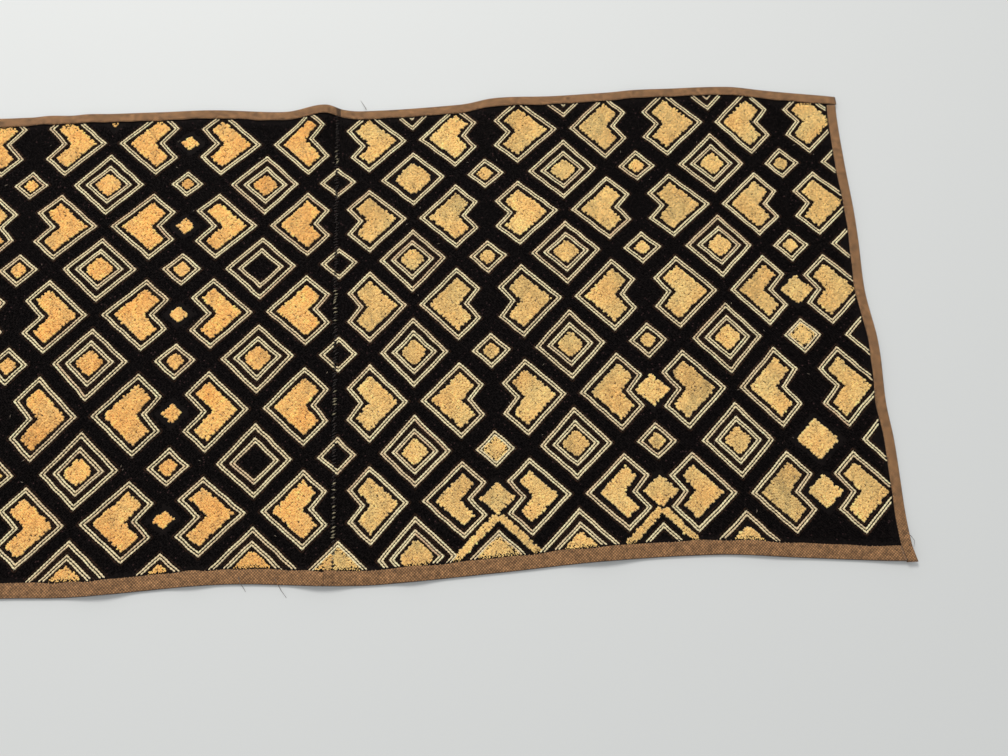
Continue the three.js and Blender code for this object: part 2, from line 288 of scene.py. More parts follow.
# %% [markdown]
# A plain weave goes over and under by turns. The product of two sines, one across each set of threads,
# changes sign from one crossing to the next: where it is positive a thread of the first set is on top, and
# where it is negative one of the second. Its size is the bulge of the thread, which drives the relief and a
# painted shade, darker in the dips between threads.

# %% Woven raffia
WEAVE_PITCH = 1.5 * MM
PATCH_WAVES = 190.0  # waves a metre in the noise for worn patches
STRAND_WAVES = 330.0  # and in the one for single strands


def woven_material(name, warp, weft, pitch, tinted=False, sheen=0.15, roughness=0.75, relief=0.35):
    """Plain-woven raffia: the sign of sin(pi u) sin(pi v) picks warp or weft; its size is the height and a
    painted shade.
    """
    material, tree, shader = new_material(name, roughness, sheen)
    place = add_node(tree, "ShaderNodeTexCoord").outputs["Object"]
    turns = (math.pi / pitch,) * 3
    scaled = add_node(tree, "ShaderNodeVectorMath", {0: place, 1: turns}, operation="MULTIPLY")
    drift = add_node(tree, "ShaderNodeTexNoise", {"Vector": scaled.outputs["Vector"], "Scale": 0.1})
    bent = add_node(
        tree, "ShaderNodeVectorMath",
        {0: scaled.outputs["Vector"], 1: drift.outputs["Color"]}, operation="ADD",
    )
    parts = add_node(tree, "ShaderNodeSeparateXYZ", {"Vector": bent.outputs["Vector"]})
    waves = [
        add_node(tree, "ShaderNodeMath", {0: parts.outputs[axis]}, operation="SINE").outputs["Value"]
        for axis in ("X", "Y")
    ]
    product = add_node(tree, "ShaderNodeMath", {0: waves[0], 1: waves[1]}, operation="MULTIPLY")
    cross = product.outputs["Value"]
    height = add_node(tree, "ShaderNodeMath", {0: cross}, operation="ABSOLUTE").outputs["Value"]
    share = add_node(tree, "ShaderNodeMapRange", {"Value": cross, "From Min": -0.6, "From Max": 0.6})
    ramp = add_node(tree, "ShaderNodeMix", {"Factor": share.outputs["Result"]}, data_type="RGBA")
    for name_of_input, value in (("A", weft), ("B", warp)):
        colour_inputs = [s for s in ramp.inputs if s.name == name_of_input and s.type == "RGBA"]
        colour_inputs[0].default_value = (*value, 1)
    mixed = [s for s in ramp.outputs if s.type == "RGBA"][0]
    patches = add_node(tree, "ShaderNodeTexNoise", {"Vector": place, "Scale": PATCH_WAVES, "Detail": 3.0})
    strand = add_node(
        tree, "ShaderNodeTexNoise",
        {"Vector": place, "Scale": STRAND_WAVES, "Detail": 3.0, "Roughness": 0.75},
    )
    wear_and_painted_shade = times(tree, mixed, stretch(tree, patches.outputs["Fac"], 0.2, 1.7))
    wear_and_painted_shade = times(tree, wear_and_painted_shade, stretch(tree, strand.outputs["Fac"], -0.25, 2.25))
    # Painted shade: darker in the dips between threads, lighter on their crests.
    wear_and_painted_shade = times(tree, wear_and_painted_shade, stretch(tree, height, 0.7, 1.1))
    if tinted:
        tint = add_node(tree, "ShaderNodeAttribute", attribute_name="tint")
        wear_and_painted_shade = times(tree, wear_and_painted_shade, tint.outputs["Color"])
    tree.links.new(wear_and_painted_shade, shader.inputs["Base Color"])
    bump = add_node(tree, "ShaderNodeBump", {"Height": height, "Strength": relief, "Distance": 0.5 * MM})
    tree.links.new(bump.outputs["Normal"], shader.inputs["Normal"])
    return material


# %% [markdown]
# All of the cloth's meshes are made by one helper: it takes whole arrays of points and faces, gives them to
# Blender in one go, and stores each point's tint. A piece's map, unless it brings its own, is a plain view
# from above, scaled to fit its longer side.

# %% Helper for meshes
def new_piece(name, points, faces, material, tints=None, spots=None, smooth=False):
    """A piece on root: points (n, 3), faces (m, 3 or 4), a tint a point and a place in the map a corner."""
    points = np.asarray(points, float).reshape(-1, 3)
    faces = np.asarray(faces, np.int32)
    mesh = bpy.data.meshes.new(name)
    mesh.vertices.add(len(points))
    mesh.vertices.foreach_set("co", points.ravel())
    mesh.loops.add(faces.size)
    mesh.loops.foreach_set("vertex_index", faces.ravel())
    mesh.polygons.add(len(faces))
    mesh.polygons.foreach_set("loop_start", np.arange(0, faces.size, faces.shape[1], dtype=np.int32))
    if smooth:
        mesh.polygons.foreach_set("use_smooth", np.ones(len(faces), bool))
    mesh.update(calc_edges=True)
    if spots is None:
        low, high = points.min(0)[:2], points.max(0)[:2]
        spots = 0.01 + 0.98 * (points[faces.ravel(), :2] - low) / (high - low).max()
    mesh.uv_layers.new(name="OFBake").data.foreach_set("uv", np.asarray(spots, float).ravel())
    if tints is not None:
        colours = np.ones((len(points), 4))
        colours[:, :3] = np.clip(tints, 0, 1)
        layer = mesh.color_attributes.new("tint", "FLOAT_COLOR", "POINT")
        layer.data.foreach_set("color", colours.ravel())
    mesh.materials.append(material)
    mesh.validate()
    piece = bpy.data.objects.new(name, mesh)
    bpy.context.scene.collection.objects.link(piece)
    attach(piece, "root")
    print(name, len(points), "points", len(faces), "faces")
    return piece


# %% [markdown]
# The pattern is a lattice of diamonds, counted in columns and rows. Even columns hold nested diamonds, odd
# columns hold small ones, and between them lie chevrons that point away from the odd columns. A cloth
# worked by hand and eye drifts, so two tables say how far the pattern leans to the right and up.

# %% Lattice
COLUMN_PITCH = 84 * MM
ROW_PITCH = 105.6 * MM
SEAM_COLUMN = 3
MIDDLE_ROW = 1.5
MIDDLE_Y = 16.3 * MM
FIRST_COLUMN = -4
LAST_COLUMN = 10
FIRST_ROW = -1
LAST_ROW = 4

# How far the pattern lies to the right and up of its even lattice, in mm: a line for each row of the
# lattice from the top one down, with a number for each column from the leftmost one that shows.
LEANS_FROM = (-1, -1)
LEANS_RIGHT = np.array([
    (-1, 0, 3, 6, 3, 2, 3, 12, 8, 12, 6, 6),
    (-2, -1, 2, 6, 1, 3, -1, 4, 4, 8, 3, 3),
    (-4, -2, 2, 3, 4, -1, -2, 1, 1, 4, -1, -1),
    (-4, -4, 1, 3, 4, -1, -3, -2, -3, 0, -3, -3),
    (-5, -5, 1, 4, 3, -2, -3, -4, -4, -3, -4, -4),
    (-8, -8, -2, 4, 5, -3, -4, -6, -6, -5, -5, -5),
])
LEANS_UP = np.array([
    (0, -2, -5, -12, -12, -14, -6, 0, 2, 4, 0, 0),
    (1, -1, -3, -8, -8, -6, -2, -1, 1, 1, -2, -2),
    (5, 3, 0, -2, 0, 2, 2, 5, 6, 5, 2, 2),
    (4, 4, 2, 2, 2, 1, -1, 3, 4, 4, 3, 0),
    (-7, -6, -5, -3, -1, 0, -1, 1, 0, -3, -5, -10),
    (-5, -5, -3, 1, 1, 4, 5, 4, 4, -6, -8, -13),
])


def lattice_point(column, row):
    """Where a column and row lie on the cloth, before any lean."""
    return (column - SEAM_COLUMN) * COLUMN_PITCH, MIDDLE_Y - (row - MIDDLE_ROW) * ROW_PITCH


def lean_at(x, y):
    """How far the pattern lies from its even lattice: the tables, blended evenly between four neighbours."""
    rows, columns_of = LEANS_RIGHT.shape
    across = np.clip(x / COLUMN_PITCH + SEAM_COLUMN - LEANS_FROM[0], 0, columns_of - 1.001)
    down = np.clip((MIDDLE_Y - y) / ROW_PITCH + MIDDLE_ROW - LEANS_FROM[1], 0, rows - 1.001)
    i, j = across.astype(int), down.astype(int)
    s, t = across - i, down - j
    blended = []
    for table in (LEANS_RIGHT, LEANS_UP):
        above = table[j, i] * (1 - s) + table[j, i + 1] * s
        below = table[j + 1, i] * (1 - s) + table[j + 1, i + 1] * s
        blended.append((above * (1 - t) + below * t) * MM)
    return blended


# %% [markdown]
# Each motif is measured by a distance function: negative inside, zero on the middle of its stitched line. A
# diamond's distance is |x|/a + |y|/b - 1, scaled to millimetres. A chevron is a diamond with another
# diamond, the black gap, cut out of its side, so its distance is the larger of the one and minus the other.

# %% Motifs
NESTED_OUTER = (35.0 * MM, 35.4 * MM)
NESTED_INNER = (22.0 * MM, 21.6 * MM)
NESTED_HEART = (16.0 * MM, 15.6 * MM)
NESTED_ROUND = 13.4 * MM
PLAIN_OUTER = (33.5 * MM, 33.0 * MM)
PLAIN_HEART = (23.0 * MM, 22.5 * MM)
PLAIN_ROUND = 19.5 * MM
SMALL_LINE = (17.7 * MM, 16.7 * MM)
SMALL_HEART = (10.6 * MM, 10.4 * MM)
SMALL_ROUND = 8.6 * MM
FULL_HEART = (15.5 * MM, 14.5 * MM)
FULL_ROUND = 12.5 * MM
PATCH_HEART = (23 * MM, 21 * MM)
PATCH_ROUND = 21 * MM
BUD_HEART = (11 * MM, 11 * MM)  # the one small heart just under the top strip
BUD_DROP = 22 * MM
CHEVRON_BODY = (39.3 * MM, 38.2 * MM)
CHEVRON_SET = 49.1 * MM  # from the even column to the middle of the chevron
GAP_PLAIN = (0, 0, 25.4 * MM, 31.0 * MM)  # how far right and up the gap lies, and its half width and height
GAP_HEART = (10.5 * MM, 10.0 * MM)
LARGE_GAP = (19.0 * MM, 17.0 * MM)
FILL_INSET = 5.8 * MM
DEEP_INSET = 7.6 * MM
LEG_HALF_WIDTH = 4.2 * MM
LEG_START = 18 * MM
LEG_OVERLAP = 3 * MM


def diamond_distance(x, y, half):
    """Distance to a diamond's side: (|x|/a + |y|/b - 1) times ab over the length of its side."""
    a, b = half
    return (np.abs(x) / a + np.abs(y) / b - 1) * a * b / np.hypot(a, b)


def chevron_distance(x, y, gap=GAP_PLAIN):
    """Distance to a chevron whose point is on the left: the larger of its diamond and minus the gap's."""
    right, up, wide, tall = gap
    cut = diamond_distance(x - (COLUMN_PITCH - CHEVRON_SET) - right, y - up, (wide, tall))
    return np.maximum(diamond_distance(x, y, CHEVRON_BODY), -cut)


def diamond_corners(half, offset):
    """The corners of a diamond, moved out by an offset, in turn round it."""
    a, b = np.array(half) * (1 + offset * np.hypot(*half) / (half[0] * half[1]))
    return np.array([(-a, 0), (0, b), (a, 0), (0, -b)])


def chevron_corners(offset, gap=GAP_PLAIN):
    """The six corners of a chevron, moved out by an offset. An arm's end is where its two sides meet."""
    right, up, wide, tall = gap
    a, b = np.array(CHEVRON_BODY) * (1 + offset * np.hypot(*CHEVRON_BODY) / np.prod(CHEVRON_BODY))
    c, d = np.array((wide, tall)) * (1 - offset * np.hypot(wide, tall) / (wide * tall))
    gap_x = COLUMN_PITCH - CHEVRON_SET + right
    ends = []
    for shift in (up, -up):
        end_x = (b - d - shift + d * gap_x / c) / (b / a + d / c)
        ends.append((end_x, b * (1 - end_x / a)))
    (upper_x, upper_y), (lower_x, lower_y) = ends
    return np.array([(-a, 0), (0, b), (upper_x, upper_y), (gap_x - c, up), (lower_x, -lower_y), (0, -b)])


# %% [markdown]
# The chart says which hearts aren't gold, which motifs are worked another way, and which gaps have another
# size. It is counted in columns and rows, and the gaps and chevrons have half rows.

# %% Motifs that differ
BLACK_HEARTS = {(2, 1), (2, 3), (3, 0), (3, 1), (3, 2), (3, 3), (7, 4), (9, 4)}
PLAIN_NESTED = {(4, 0), (8, 4), (-2, 2)}
FULL_SMALL = {(5, 3), (9, 2), (5, 4), (3, 4)}
PATCH_ONLY = {(9, 3)}
LARGE_GAPS = {(5, 3.5), (7, 3.5), (7, 2.5), (9, 1.5), (9, 3.5)}
GOLD_GAPS = LARGE_GAPS | {(1, -0.5), (1, 0.5), (1, 1.5), (1, 2.5), (1, 3.5), (-3, 0.5), (-3, 2.5), (-1, 3.5)}
ABSENT = {(2, -1), (-2, -1), (9, 4), (10, 4)}
SMALL_SCALE = {(-1, 0): 0.88, (1, 0): 0.80}
ROW_GROWTH = {0: 6, 1: 8, 2: 12, 3: 14, 4: 4, 5: 10, 6: 6, 7: 10, 8: 8, 9: 8}  # the last row's, in mm
GAP_CHANGES = {
    (-1, -0.5, -1): (0, 0, 31, 37), (-1, -0.5, 1): (0, 0, 31, 37),
    (1, -0.5, -1): (0, 0, 31, 37), (1, -0.5, 1): (0, 0, 29, 35),
    (3, -0.5, -1): (-1, 6, 31, 37), (3, -0.5, 1): (-2, -6, 26, 33),
    (3, 3.5, -1): (0, 0, 27, 32), (3, 3.5, 1): (0, 0, 27, 32),
    (5, 3.5, -1): (0, 0, 28, 33), (5, 3.5, 1): (0, 0, 27, 32), (7, 3.5, -1): (0, 0, 27, 32),
    (9, 1.5, -1): (0, 0, 30, 34), (7, 2.5, 1): (0, 0, 28, 33),
    (9, 2.5, -1): (0, 0, 29, 33), (9, 2.5, 1): (0, 0, 29, 33),
    (9, 3.5, -1): (0, 0, 29, 33), (9, 3.5, 1): (0, 0, 29, 33),
}
for row in (0.5, 1.5, 2.5, 3.5):
    GAP_CHANGES[1, row, 1] = (0, 0, 32, 34)
    GAP_CHANGES[1, row, -1] = (0, 0, 27, 32)
    GAP_CHANGES[-1, row, 1] = (0, 0, 30, 33)
GOLD_LEGS = {(5, 3.5), (7, 3.5)}
print(len(BLACK_HEARTS), "black hearts", len(GOLD_GAPS), "gold gaps")

# %% [markdown]
# Each motif keeps its place, its lines for any offset, its distance and its fill. All of them are listed
# once, and the pile and the stitches are both worked from that list.

# %% List the motifs
def list_motifs():
    """All the motifs: where each is, its lines (corners for any offset), its outer distance and its fills."""
    motifs = []
    for column in range(FIRST_COLUMN, LAST_COLUMN + 1):
        for row in range(FIRST_ROW, LAST_ROW + 1):
            if (column, row) not in ABSENT:
                motifs.append(diamond_motif(column, row))
            if column % 2:
                motifs.append(gap_motif(column, row + 0.5))
                motifs.append(chevron_motif(column, row + 0.5, -1))
                motifs.append(chevron_motif(column, row + 0.5, 1))
    return motifs


def diamond_motif(column, row):
    """A nested diamond in an even column, or a small one in an odd column.

    The last row's are larger, and so lie lower, half under the strip.
    """
    fill = "black" if (column, row) in BLACK_HEARTS else "gold"
    grown = ROW_GROWTH.get(column, 6) * MM if row == LAST_ROW else 0
    x, y = lattice_point(column, row)
    place = (x, y - grown)
    outer, inner, heart = (np.array(half) + grown for half in (NESTED_OUTER, NESTED_INNER, NESTED_HEART))
    if column == LAST_COLUMN:
        return motif(place, [outer], heart, "black")
    if (column, row) == (0, -1):
        return motif((x, y - BUD_DROP), [], BUD_HEART, fill)
    if column % 2 == 0:
        if (column, row) in PLAIN_NESTED:
            plain, plain_heart = (np.array(half) + grown for half in (PLAIN_OUTER, PLAIN_HEART))
            return motif(place, [plain], plain_heart, fill, PLAIN_ROUND + grown)
        return motif(place, [outer, inner], heart, fill, NESTED_ROUND + grown)
    if (column, row) in PATCH_ONLY:
        return motif(place, [], PATCH_HEART, fill, PATCH_ROUND)
    scale = SMALL_SCALE.get((column, row), 1)
    line = np.array(SMALL_LINE) * scale + grown
    if (column, row) in FULL_SMALL:
        return motif(place, [line], np.array(FULL_HEART) + grown, fill, FULL_ROUND + grown)
    return motif(place, [line], np.array(SMALL_HEART) * scale + grown, fill, SMALL_ROUND * scale + grown)


def motif(place, halves, heart, fill, rounding=None):
    """A diamond motif: the half sizes of its lines from the outside in, and its heart."""
    def heart_distance(x, y):
        flat = diamond_distance(x, y, heart)
        return flat if rounding is None else np.maximum(flat, np.hypot(x, y) - rounding)

    outer = halves[0] if halves else heart
    return {
        "place": place,
        "turn": 1,
        "lines": [lambda offset, half=half: diamond_corners(half, offset) for half in halves],
        "outer": lambda x, y: diamond_distance(x, y, outer),
        "fill": heart_distance,
        "colour": fill,
    }


def gap_motif(column, row):
    """The small gold diamond that some black gaps hold. It has no line of its own."""
    large = (column, row) in LARGE_GAPS
    found = motif(lattice_point(column, row), [], LARGE_GAP if large else GAP_HEART, "gold")
    found["shown"] = (column, row) in GOLD_GAPS
    return found


def chevron_motif(column, row, side):
    """The chevron on one side of an odd column: its point turns away from the column."""
    x, y = lattice_point(column + side, row)
    gap = GAP_PLAIN
    if (column, row, side) in GAP_CHANGES:
        gap = tuple(size * MM for size in GAP_CHANGES[column, row, side])
    inset = DEEP_INSET if (column, row) in GOLD_LEGS else FILL_INSET
    return {
        "place": (x - side * CHEVRON_SET, y),
        "turn": -side,
        "lines": [lambda offset: chevron_corners(offset, gap)],
        "outer": lambda u, v: chevron_distance(u, v, gap),
        "fill": lambda u, v: chevron_distance(u, v, gap) + inset,
        "colour": "gold",
    }


MOTIFS = [m for m in list_motifs() if m.get("shown", True)]
print(len(MOTIFS), "motifs")

# %% [markdown]
# A pile of cut raffia is thousands of short tufts. To know which tuft stands where, every candidate point
# is measured against the motifs near it: gold where it is inside a gold fill, black where it is clear of
# every line.

# %% Chart the pile
MOTIF_REACH = 54 * MM
LINE_HALF = 2.6 * MM
BROWN_ROW = 2.1 * MM
GOLD_CLEAR = 2.2 * MM  # how far black pile stays from gold pile
FIELD_REACH = 600 * MM
FIELD_HALF = (590 * MM, 285 * MM)
ROW_SHARE = 0.88  # the rows lie a little closer than the tufts in them


def leg_distance(x, y):
    """Distance to the gold legs, two bands that run down and outwards from a gold gap to the lower strip."""
    nearest = np.full(np.shape(x), 1.0)
    for column, row in GOLD_LEGS:
        top_x, top_y = lattice_point(column, row)
        down = top_y - y
        away = np.abs(np.abs(x - top_x) - (down - LEG_START)) * math.sqrt(0.5)
        distance = np.where(down > LEG_START - LEG_OVERLAP, away, 1.0)
        nearest = np.minimum(nearest, distance - LEG_HALF_WIDTH)
    return nearest


def chart(x, y):
    """For each point, its depth inside gold and inside black: both arrays, positive inside."""
    lean_x, lean_y = lean_at(x, y)
    even_x, even_y = x - lean_x, y - lean_y
    gold = np.full(len(x), -1.0)
    black_heart = np.full(len(x), -1.0)
    clear = np.full(len(x), 1.0)
    for m in MOTIFS:
        near = np.flatnonzero(
            (np.abs(even_x - m["place"][0]) < MOTIF_REACH) & (np.abs(even_y - m["place"][1]) < MOTIF_REACH)
        )
        if not len(near):
            continue
        u = (even_x[near] - m["place"][0]) * m["turn"]
        v = even_y[near] - m["place"][1]
        depth = -m["fill"](u, v)
        if m["colour"] == "gold":
            gold[near] = np.maximum(gold[near], depth)
        else:
            black_heart[near] = np.maximum(black_heart[near], depth)
        clear[near] = np.minimum(clear[near], m["outer"](u, v))
    legs = leg_distance(even_x, even_y)
    free = clear > LINE_HALF
    gold = np.where(free, np.maximum(gold, -legs), gold)
    black = np.maximum(black_heart, clear - LINE_HALF - BROWN_ROW)
    black = np.where(legs < GOLD_CLEAR, -1.0, black)
    return gold, np.where(gold > -GOLD_CLEAR, -1.0, black)


def candidate_points(side, spacing):
    """Points all over a panel, in rows that run along the diagonal, each moved a little at random."""
    steps = np.arange(-FIELD_REACH * 1.5, FIELD_REACH * 1.5, spacing)
    p, q = (grid.ravel() for grid in np.meshgrid(steps, steps * ROW_SHARE))
    x = (p + q) * math.sqrt(0.5) + side * FIELD_REACH / 2
    y = (p - q) * math.sqrt(0.5)
    keep = (np.abs(y) < FIELD_HALF[1]) & (x * side > 0) & (np.abs(x) < FIELD_HALF[0])
    x, y, row = x[keep], y[keep], np.round(q[keep] / (spacing * ROW_SHARE)).astype(int)
    x = x + random.normal(0, spacing * 0.18, len(x))
    y = y + random.normal(0, spacing * 0.18, len(y))
    keep = (past_strip(x, y) > 0.4 * MM) & (x * side > 0.5 * MM)
    return x[keep], y[keep], row[keep]


# %% [markdown]
# Under the pile lies the ground: raffia woven plain, dyed dark on the face and left natural on the back. It
# is one closed sheet on the same folds as its solid. The grid runs from the seam to the strip, and its
# underside rises where the folded strip grips it.

# %% Ground sheets
GROUND_TOP = 1.1 * MM
SHEET_STEP = 6.5 * MM
PANEL_INSET = STRIP_THICKNESS + 2 * CLEARANCE
FITTING_PASSES = 4


def sheet_grid(side):
    """A grid of places on one panel: x as a share of the way to the side, y between the long edges."""
    edge = RIGHT_EDGE if side > 0 else LEFT_EDGE
    across = np.linspace(0, 1, round(0.58 / SHEET_STEP) + 1)
    up = np.linspace(0, 1, round(0.54 / SHEET_STEP) + 1)
    s, t = np.meshgrid(across, up, indexing="ij")
    x, y = side * s * 0.58, (t - 0.5) * 0.54
    for _ in range(FITTING_PASSES):
        outer = np.abs(edge_at(edge, y)) - PANEL_INSET
        x = side * (SEAM_GAP / 2 + s * (outer - SEAM_GAP / 2))
        low = edge_at(BOTTOM_EDGE, x) + PANEL_INSET
        high = edge_at(TOP_EDGE, x) - PANEL_INSET
        y = low + t * (high - low)
    return x, y


def sheet_piece(side, name, material):
    """A panel's closed sheet: its top, its underside and the rim between them."""
    x, y = sheet_grid(side)
    share = np.clip((past_strip(x, y) - CLEARANCE) / (STEP_DOWN - CLEARANCE), 0, 1)
    rise = rise_at(x, y)
    bottom = rise + EDGE_BOTTOM * (1 - share)
    top = rise + (EDGE_BOTTOM + GROUND_THICKNESS) * (1 - share) + GROUND_TOP * share
    points = np.concatenate([np.stack([x, y, z], -1).reshape(-1, 3) for z in (top, bottom)])
    n, m = x.shape
    index = np.arange(n * m).reshape(n, m)
    quads = np.stack([index[:-1, :-1], index[1:, :-1], index[1:, 1:], index[:-1, 1:]], -1).reshape(-1, 4)
    rim = np.concatenate([index[:-1, 0], index[-1, :-1], index[:0:-1, -1], index[0, :0:-1]])
    after = np.roll(rim, -1)
    walls = np.stack([rim, rim + n * m, after + n * m, after], -1)
    faces = np.concatenate([quads, quads[:, ::-1] + n * m, walls])
    if side < 0:
        faces = faces[:, ::-1]
    spots = points[faces.ravel(), :2] * (side * 0.8, 1.5) + (0.01, 0.45)
    spots[faces.ravel() >= n * m, 0] += 0.5
    walls_from = 2 * len(quads) * 4
    along_rim = np.arange(len(rim))[:, None] + np.array((0, 0, 1, 1))
    down_rim = np.broadcast_to((0.95, 0.93, 0.93, 0.95), along_rim.shape)
    if side < 0:
        along_rim, down_rim = along_rim[:, ::-1], down_rim[:, ::-1]
    spots[walls_from:, 0] = (0.01 + 0.98 * along_rim / len(rim)).ravel()
    spots[walls_from:, 1] = down_rim.ravel()
    piece = new_piece(name, points, faces, material[0], spots=spots, smooth=True)
    piece.data.materials.append(material[1])
    under = np.zeros(len(faces), np.int32)
    under[len(quads):2 * len(quads)] = 1
    piece.data.polygons.foreach_set("material_index", under)
    return piece


DARK_THREADS = ((0.0085, 0.0052, 0.0042), (0.0045, 0.003, 0.003))
NATURAL_THREADS = ((0.40, 0.27, 0.13), (0.30, 0.19, 0.09))

ground_face = woven_material("ground_face", *DARK_THREADS, WEAVE_PITCH, sheen=0.0)
ground_back = woven_material("ground_back", *NATURAL_THREADS, WEAVE_PITCH)
for side, word in ((-1, "left"), (1, "right")):
    ground = sheet_piece(side, f"ground_{word}", (ground_face, ground_back))
    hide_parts(f"panel_{word}")

# %% [markdown]
# A tuft is a small pyramid: a square or three-sided foot in the ground and a tip that leans a little, so
# that the pile looks brushed. They are cheap enough to stand in their thousands, and their uneven height
# and lean break up the light as cut fibre does.

# %% Tufts
def tufts(x, y, foot, height, lean, sides):
    """Pyramids at the points: feet on a circle of the foot's radius, and a tip moved by a random lean."""
    count = len(x)
    base = rise_at(x, y) + GROUND_TOP - 0.25 * MM
    turn = random.uniform(0, 2 * np.pi, count)
    angles = turn[:, None] + np.arange(sides) * 2 * np.pi / sides
    radius = foot * random.uniform(0.85, 1.25, count)[:, None]
    feet = np.stack([
        x[:, None] + radius * np.cos(angles),
        y[:, None] + radius * np.sin(angles),
        np.broadcast_to(base[:, None], angles.shape),
    ], -1)
    tall = height * random.uniform(0.78, 1.18, count)
    tips = np.stack([
        x + random.normal(0, lean, count),
        y + random.normal(0, lean, count),
        base + tall,
    ], -1)
    points = np.concatenate([feet, tips[:, None]], 1).reshape(-1, 3)
    start = np.arange(count)[:, None, None] * (sides + 1)
    walls = np.array([(k, (k + 1) % sides, sides) for k in range(sides)])
    under = np.array([(0, k + 1, k) for k in range(1, sides - 1)])
    faces = (np.concatenate([walls, under])[None] + start).reshape(-1, 3)
    return points, faces


def spread_tint(colour, count, each, spread):
    """A tint for each point: a colour times a factor for each tuft or stitch, repeated for its points."""
    factor = np.clip(random.normal(1, spread, count), 0.55, 1.5)
    return np.repeat(np.asarray(colour) * factor[:, None], each, 0)


# %% [markdown]
# Gold pile is natural raffia, a warm orange gold on the left panel and a paler tan gold on the right. Its
# tone wanders slowly over the cloth, changes a little from row to row, and is a shade lighter at the edge
# of a fill.

# %% Gold pile
GOLD_SPACING = 1.95 * MM
GOLD_HEIGHT = 1.9 * MM
GOLD_TONES = {"left": (0.93, 0.535, 0.165), "right": (0.84, 0.56, 0.205)}
SIDES = {"left": -1, "right": 1}
gold_material = fibre_material("gold_pile", 0.85, 0.2, 420, 0.22, 0.2)


def slow_noise(x, y, size, seed):
    """A smooth wandering value near -1 to 1: 1.8 times the mean of six plane waves in seeded directions."""
    waves = np.random.default_rng(seed)
    turns = waves.uniform(0, 2 * np.pi, 6)
    starts = waves.uniform(0, 2 * np.pi, 6)
    lengths = size * waves.uniform(0.7, 1.4, 6)
    phase = (x[:, None] * np.cos(turns) + y[:, None] * np.sin(turns)) * 2 * np.pi / lengths + starts
    return np.sin(phase).mean(1) * 1.8


def gold_tints(word, x, y, row, depth):
    """The gold of each tuft: its panel's tone, times slow patches, its row's share and a light rim."""
    patches = 1 + 0.13 * slow_noise(x, y, 90 * MM, 3) + 0.10 * slow_noise(x, y, 12 * MM, 4)
    rows = 1 + 0.07 * np.sin(row * 2.4)
    rim = 1 + 0.16 * np.exp(-depth / (1.2 * MM))
    each = np.clip(random.normal(1, 0.10, len(x)), 0.7, 1.3)
    tone = np.array(GOLD_TONES[word]) * (patches * rows * rim * each)[:, None]
    warm = slow_noise(x, y, 45 * MM, 5)[:, None] * np.array((0.02, -0.02, -0.02))
    return tone + warm


for word, side in SIDES.items():
    x, y, row = candidate_points(side, GOLD_SPACING)
    gold, black = chart(x, y)
    rough = random.normal(0.5 * MM, 0.28 * MM, len(x))
    keep = gold > rough
    points, faces = tufts(x[keep], y[keep], 2.0 * MM, GOLD_HEIGHT, 0.4 * MM, 4)
    tints = np.repeat(gold_tints(word, x[keep], y[keep], row[keep], gold[keep]), 5, 0)
    new_piece(f"gold_pile_{word}", points, faces, gold_material, tints)

# %% [markdown]
# Black pile fills the bands between the motifs. Dyed raffia isn't one black: some tufts are brown or a
# little purple, and here and there a paler strand shows.

# %% Black pile
BLACK_SPACING = 2.15 * MM
BLACK_TONE = (0.0034, 0.0023, 0.0024)
black_material = fibre_material("black_pile", 0.9, 0.0, 380, 0.4, 0.2)

for word, side in SIDES.items():
    x, y, row = candidate_points(side, BLACK_SPACING)
    gold, black = chart(x, y)
    keep = black > random.normal(0, 0.25 * MM, len(x))
    x, y = x[keep], y[keep]
    points, faces = tufts(x, y, 1.45 * MM, 1.75 * MM, 0.35 * MM, 3)
    tints = spread_tint(BLACK_TONE, len(x), 4, 0.3)
    pale = np.repeat(random.random(len(x)) < 0.035, 4)
    tints[pale] = tints[pale] * (12.0, 9.5, 9.0)
    new_piece(f"black_pile_{word}", points, faces, black_material, tints)

# %% [markdown]
# The lines are stem stitch: short slanting stitches that overlap, so a line looks like a fine rope. Each
# stitch is a spindle of eight faces, long, narrow and a little flat, and its two ends dip into the cloth.

# %% Stitches
SEAM_CLEAR = 0.2 * MM
WAVER = 0.35 * MM  # how far a hand-worked line strays
WAVER_WAVES = ((22 * MM, 8), (25 * MM, 9))  # the length and seed of its waves, across and up


def spindles(x, y, z, turn, length, width, height):
    """Spindles of six points: two ends along the direction, two sides across it, a crown and a foot."""
    count = len(x)
    along = np.stack([np.cos(turn), np.sin(turn), np.zeros(count)], -1)
    across = np.stack([-np.sin(turn), np.cos(turn), np.zeros(count)], -1)
    up = np.broadcast_to((0.0, 0.0, 1.0), (count, 3))
    centre = np.stack([x, y, z], -1)
    half = [np.broadcast_to(size, (count,))[:, None] / 2 for size in (length, width, height)]
    dip = up * half[2] * 0.5
    points = np.stack([
        centre + along * half[0] - dip,
        centre - along * half[0] - dip,
        centre + across * half[1],
        centre - across * half[1],
        centre + up * half[2],
        centre - up * half[2],
    ], 1).reshape(-1, 3)
    crown = [(0, 2, 4), (2, 1, 4), (1, 3, 4), (3, 0, 4)]
    foot = [(2, 0, 5), (1, 2, 5), (3, 1, 5), (0, 3, 5)]
    faces = (np.array(crown + foot)[None] + np.arange(count)[:, None, None] * 6).reshape(-1, 3)
    return points, faces


def line_rows(offsets_of):
    """Stitched rows round the motifs: for each side of each row, its two ends on the cloth.

    offsets_of gives the offsets of the rows for a motif and the number of the line in it.
    """
    starts, ends = [], []
    for m in MOTIFS:
        for place_in, corners_at in enumerate(m["lines"]):
            for offset in offsets_of(m, place_in):
                corners = corners_at(offset * MM) * (m["turn"], 1) + m["place"]
                starts.append(corners)
                ends.append(np.roll(corners, -1, 0))
    return np.concatenate(starts), np.concatenate(ends)


